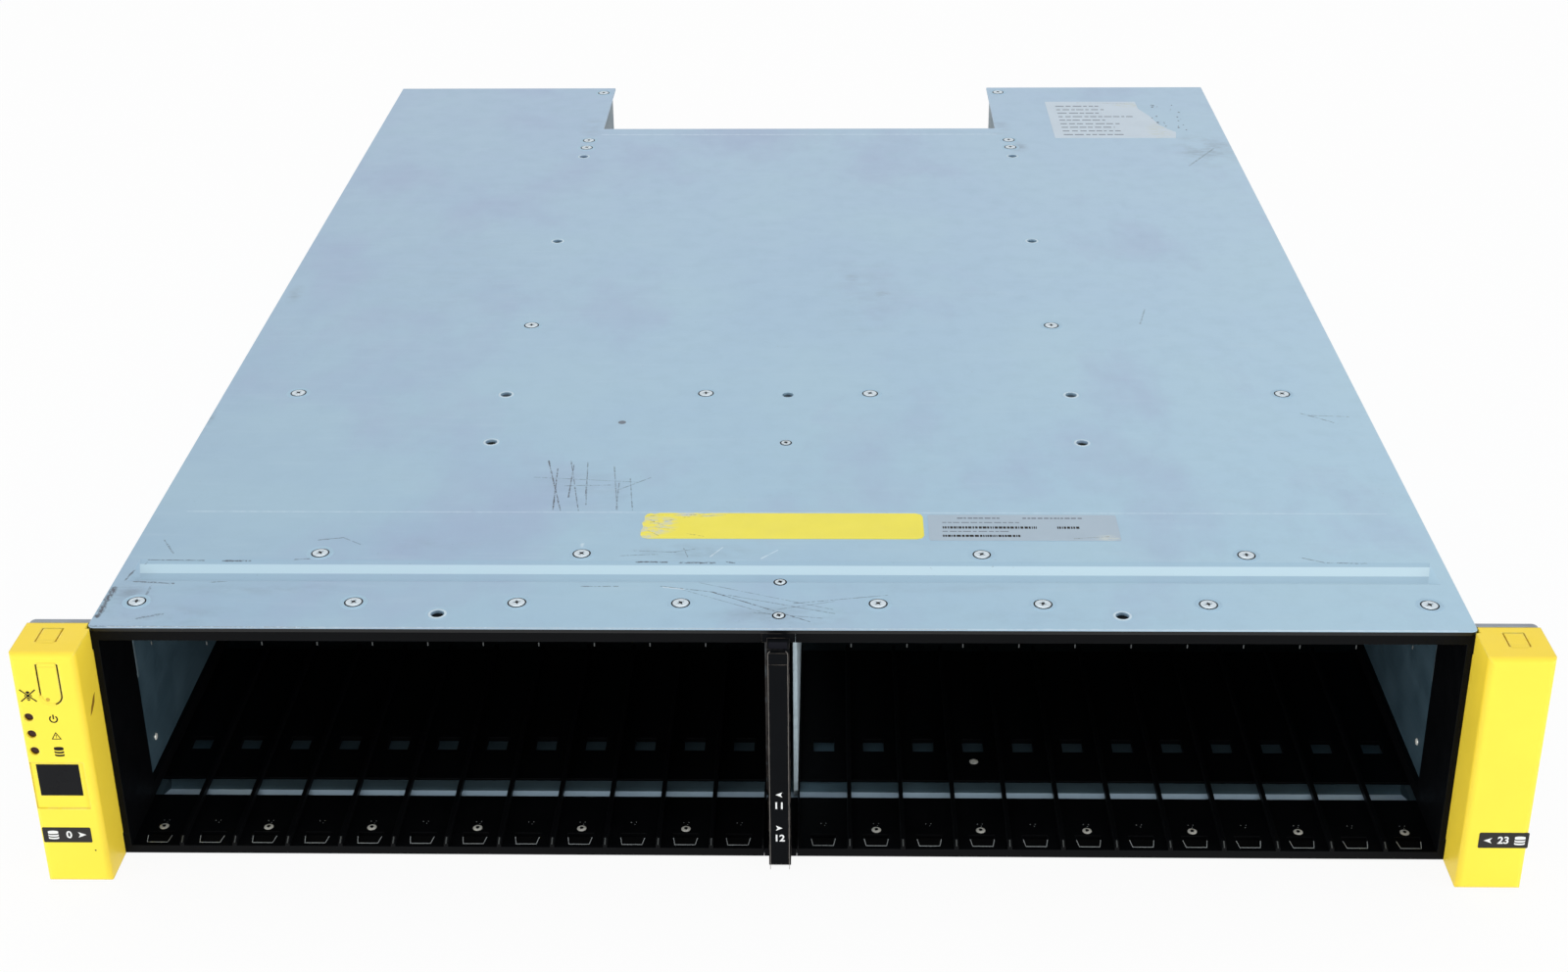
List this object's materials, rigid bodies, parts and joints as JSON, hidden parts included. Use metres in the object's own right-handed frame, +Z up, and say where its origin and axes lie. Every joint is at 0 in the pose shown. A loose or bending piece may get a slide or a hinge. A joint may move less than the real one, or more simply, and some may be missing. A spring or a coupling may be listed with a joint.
{
  "type": "disk shelf enclosure",
  "caption": "Low rack-mount disk shelf chassis with upright drive bays, a notched steel cover, clip-on yellow ear caps and slide-out power and interface modules.",
  "frame": {"origin": "centre of the underside of the chassis floor", "axes": "+X to the right seen from the front, +Y from the drive bays to the rear, +Z up"},
  "size_m": [0.4846, 0.6019, 0.0879],
  "materials": {
    "galvanised_sheet": "zinc-coated sheet, satin, light scratches",
    "black_moulding": "fine-grained black moulding",
    "circuit_board": "green solder mask",
    "connector_plastic": "black connector plastic",
    "ear_steel": "zinc-coated bracket",
    "yellow_plastic": "smooth yellow moulding, satin",
    "smoked_window": "smoked screen window",
    "lamp_lens": "clear lamp, unlit",
    "brass_standoff": "plain brass",
    "module_sheet": "zinc-coated case",
    "port_shell": "plated port shell",
    "fan_plastic": "black fan plastic",
    "guard_wire": "plated finger guard",
    "rocker_plastic": "black rocker",
    "lever_plastic": "black lever"
  },
  "bodies": {
    "chassis": {"centre_divider": "galvanised_sheet", "centre_post": "black_moulding", "chassis_base": "galvanised_sheet", "drive_connectors": "connector_plastic", "io_shelf": "galvanised_sheet", "lower_drive_guide_left": "black_moulding", "lower_drive_guide_right": "black_moulding", "midplane_board": "circuit_board", "midplane_frame": "galvanised_sheet", "midplane_sockets": "connector_plastic", "mute_switch": "connector_plastic", "operator_board": "circuit_board", "operator_standoffs": "brass_standoff", "rack_ear_left": "ear_steel", "rack_ear_right": "ear_steel", "rear_divider_left": "galvanised_sheet", "rear_divider_right": "galvanised_sheet", "screen_module": "connector_plastic", "side_plate_left": "black_moulding", "side_plate_right": "black_moulding", "status_leds": "lamp_lens", "top_cover": "galvanised_sheet", "upper_drive_guide_left": "black_moulding", "upper_drive_guide_right": "black_moulding"},
    "cap_left": {"end_cap_left": "yellow_plastic", "screen_window": "smoked_window"},
    "cap_right": {"end_cap_right": "yellow_plastic"},
    "tab_left": {"cap_release_tab_left": "yellow_plastic"},
    "tab_right": {"cap_release_tab_right": "yellow_plastic"},
    "mute_key": {"mute_button": "yellow_plastic"},
    "power_module_left": {"power_case_left": "module_sheet", "power_board_left": "circuit_board", "fan_frame_left": "fan_plastic", "fan_guard_left": "guard_wire", "ac_inlet_left": "connector_plastic"},
    "fan_left": {"fan_rotor_left": "fan_plastic"},
    "rocker_left": {"power_switch_left": "rocker_plastic"},
    "power_lever_left": {"power_lever_left": "lever_plastic"},
    "power_module_right": {"power_case_right": "module_sheet", "power_board_right": "circuit_board", "fan_frame_right": "fan_plastic", "fan_guard_right": "guard_wire", "ac_inlet_right": "connector_plastic"},
    "fan_right": {"fan_rotor_right": "fan_plastic"},
    "rocker_right": {"power_switch_right": "rocker_plastic"},
    "power_lever_right": {"power_lever_right": "lever_plastic"},
    "io_module_lower": {"io_case_lower": "module_sheet", "io_board_lower": "circuit_board", "io_ports_lower": "port_shell"},
    "io_lever_lower_left": {"io_lever_lower_left": "lever_plastic"},
    "io_lever_lower_right": {"io_lever_lower_right": "lever_plastic"},
    "io_module_upper": {"io_case_upper": "module_sheet", "io_board_upper": "circuit_board", "io_ports_upper": "port_shell"},
    "io_lever_upper_left": {"io_lever_upper_left": "lever_plastic"},
    "io_lever_upper_right": {"io_lever_upper_right": "lever_plastic"}
  },
  "joints": [
    {"name": "cap_pull_left", "type": "slide", "parent": "chassis", "child": "cap_left", "axis": [0, -1, 0], "range_m": [0, 0.03]},
    {"name": "cap_tab_left", "type": "hinge", "parent": "cap_left", "child": "tab_left", "pos_m": [-0.2321, -0.2965, 0.0879], "axis": [-1, 0, 0], "range_deg": [0, 5], "stiffness_Nm_per_rad": 0.1},
    {"name": "cap_pull_right", "type": "slide", "parent": "chassis", "child": "cap_right", "axis": [0, -1, 0], "range_m": [0, 0.03]},
    {"name": "cap_tab_right", "type": "hinge", "parent": "cap_right", "child": "tab_right", "pos_m": [0.2321, -0.2965, 0.0879], "axis": [-1, 0, 0], "range_deg": [0, 5], "stiffness_Nm_per_rad": 0.1},
    {"name": "mute_press", "type": "hinge", "parent": "cap_left", "child": "mute_key", "pos_m": [-0.2299, -0.3045, 0.084], "axis": [1, 0, 0], "range_deg": [0, 4], "stiffness_Nm_per_rad": 0.1},
    {"name": "power_slide_left", "type": "slide", "parent": "chassis", "child": "power_module_left", "axis": [0, 1, 0], "range_m": [0, 0.35]},
    {"name": "fan_spin_left", "type": "hinge", "parent": "power_module_left", "child": "fan_left", "pos_m": [-0.1508, 0.2735, 0.049], "axis": [0, 1, 0], "continuous": true},
    {"name": "rocker_turn_left", "type": "hinge", "parent": "power_module_left", "child": "rocker_left", "pos_m": [-0.1997, 0.2885, 0.063], "axis": [1, 0, 0], "range_deg": [0, 14]},
    {"name": "power_lever_swing_left", "type": "hinge", "parent": "power_module_left", "child": "power_lever_left", "pos_m": [-0.1199, 0.2919, 0.0045], "axis": [0, 0, -1], "range_deg": [0, 70]},
    {"name": "power_slide_right", "type": "slide", "parent": "chassis", "child": "power_module_right", "axis": [0, 1, 0], "range_m": [0, 0.35]},
    {"name": "fan_spin_right", "type": "hinge", "parent": "power_module_right", "child": "fan_right", "pos_m": [0.1508, 0.2735, 0.049], "axis": [0, 1, 0], "continuous": true},
    {"name": "rocker_turn_right", "type": "hinge", "parent": "power_module_right", "child": "rocker_right", "pos_m": [0.1997, 0.2885, 0.063], "axis": [1, 0, 0], "range_deg": [0, 14]},
    {"name": "power_lever_swing_right", "type": "hinge", "parent": "power_module_right", "child": "power_lever_right", "pos_m": [0.1199, 0.2919, 0.0045], "axis": [0, 0, 1], "range_deg": [0, 70]},
    {"name": "io_slide_lower", "type": "slide", "parent": "chassis", "child": "io_module_lower", "axis": [0, 1, 0], "range_m": [0, 0.28]},
    {"name": "io_lever_swing_lower_left", "type": "hinge", "parent": "io_module_lower", "child": "io_lever_lower_left", "pos_m": [-0.0977, 0.2179, 0.0045], "axis": [0, 0, 1], "range_deg": [0, 70]},
    {"name": "io_lever_swing_lower_right", "type": "hinge", "parent": "io_module_lower", "child": "io_lever_lower_right", "pos_m": [0.0977, 0.2179, 0.0045], "axis": [0, 0, -1], "range_deg": [0, 70]},
    {"name": "io_slide_upper", "type": "slide", "parent": "chassis", "child": "io_module_upper", "axis": [0, 1, 0], "range_m": [0, 0.28]},
    {"name": "io_lever_swing_upper_left", "type": "hinge", "parent": "io_module_upper", "child": "io_lever_upper_left", "pos_m": [-0.0977, 0.2179, 0.04785], "axis": [0, 0, 1], "range_deg": [0, 70]},
    {"name": "io_lever_swing_upper_right", "type": "hinge", "parent": "io_module_upper", "child": "io_lever_upper_right", "pos_m": [0.0977, 0.2179, 0.04785], "axis": [0, 0, -1], "range_deg": [0, 70]}
  ]
}
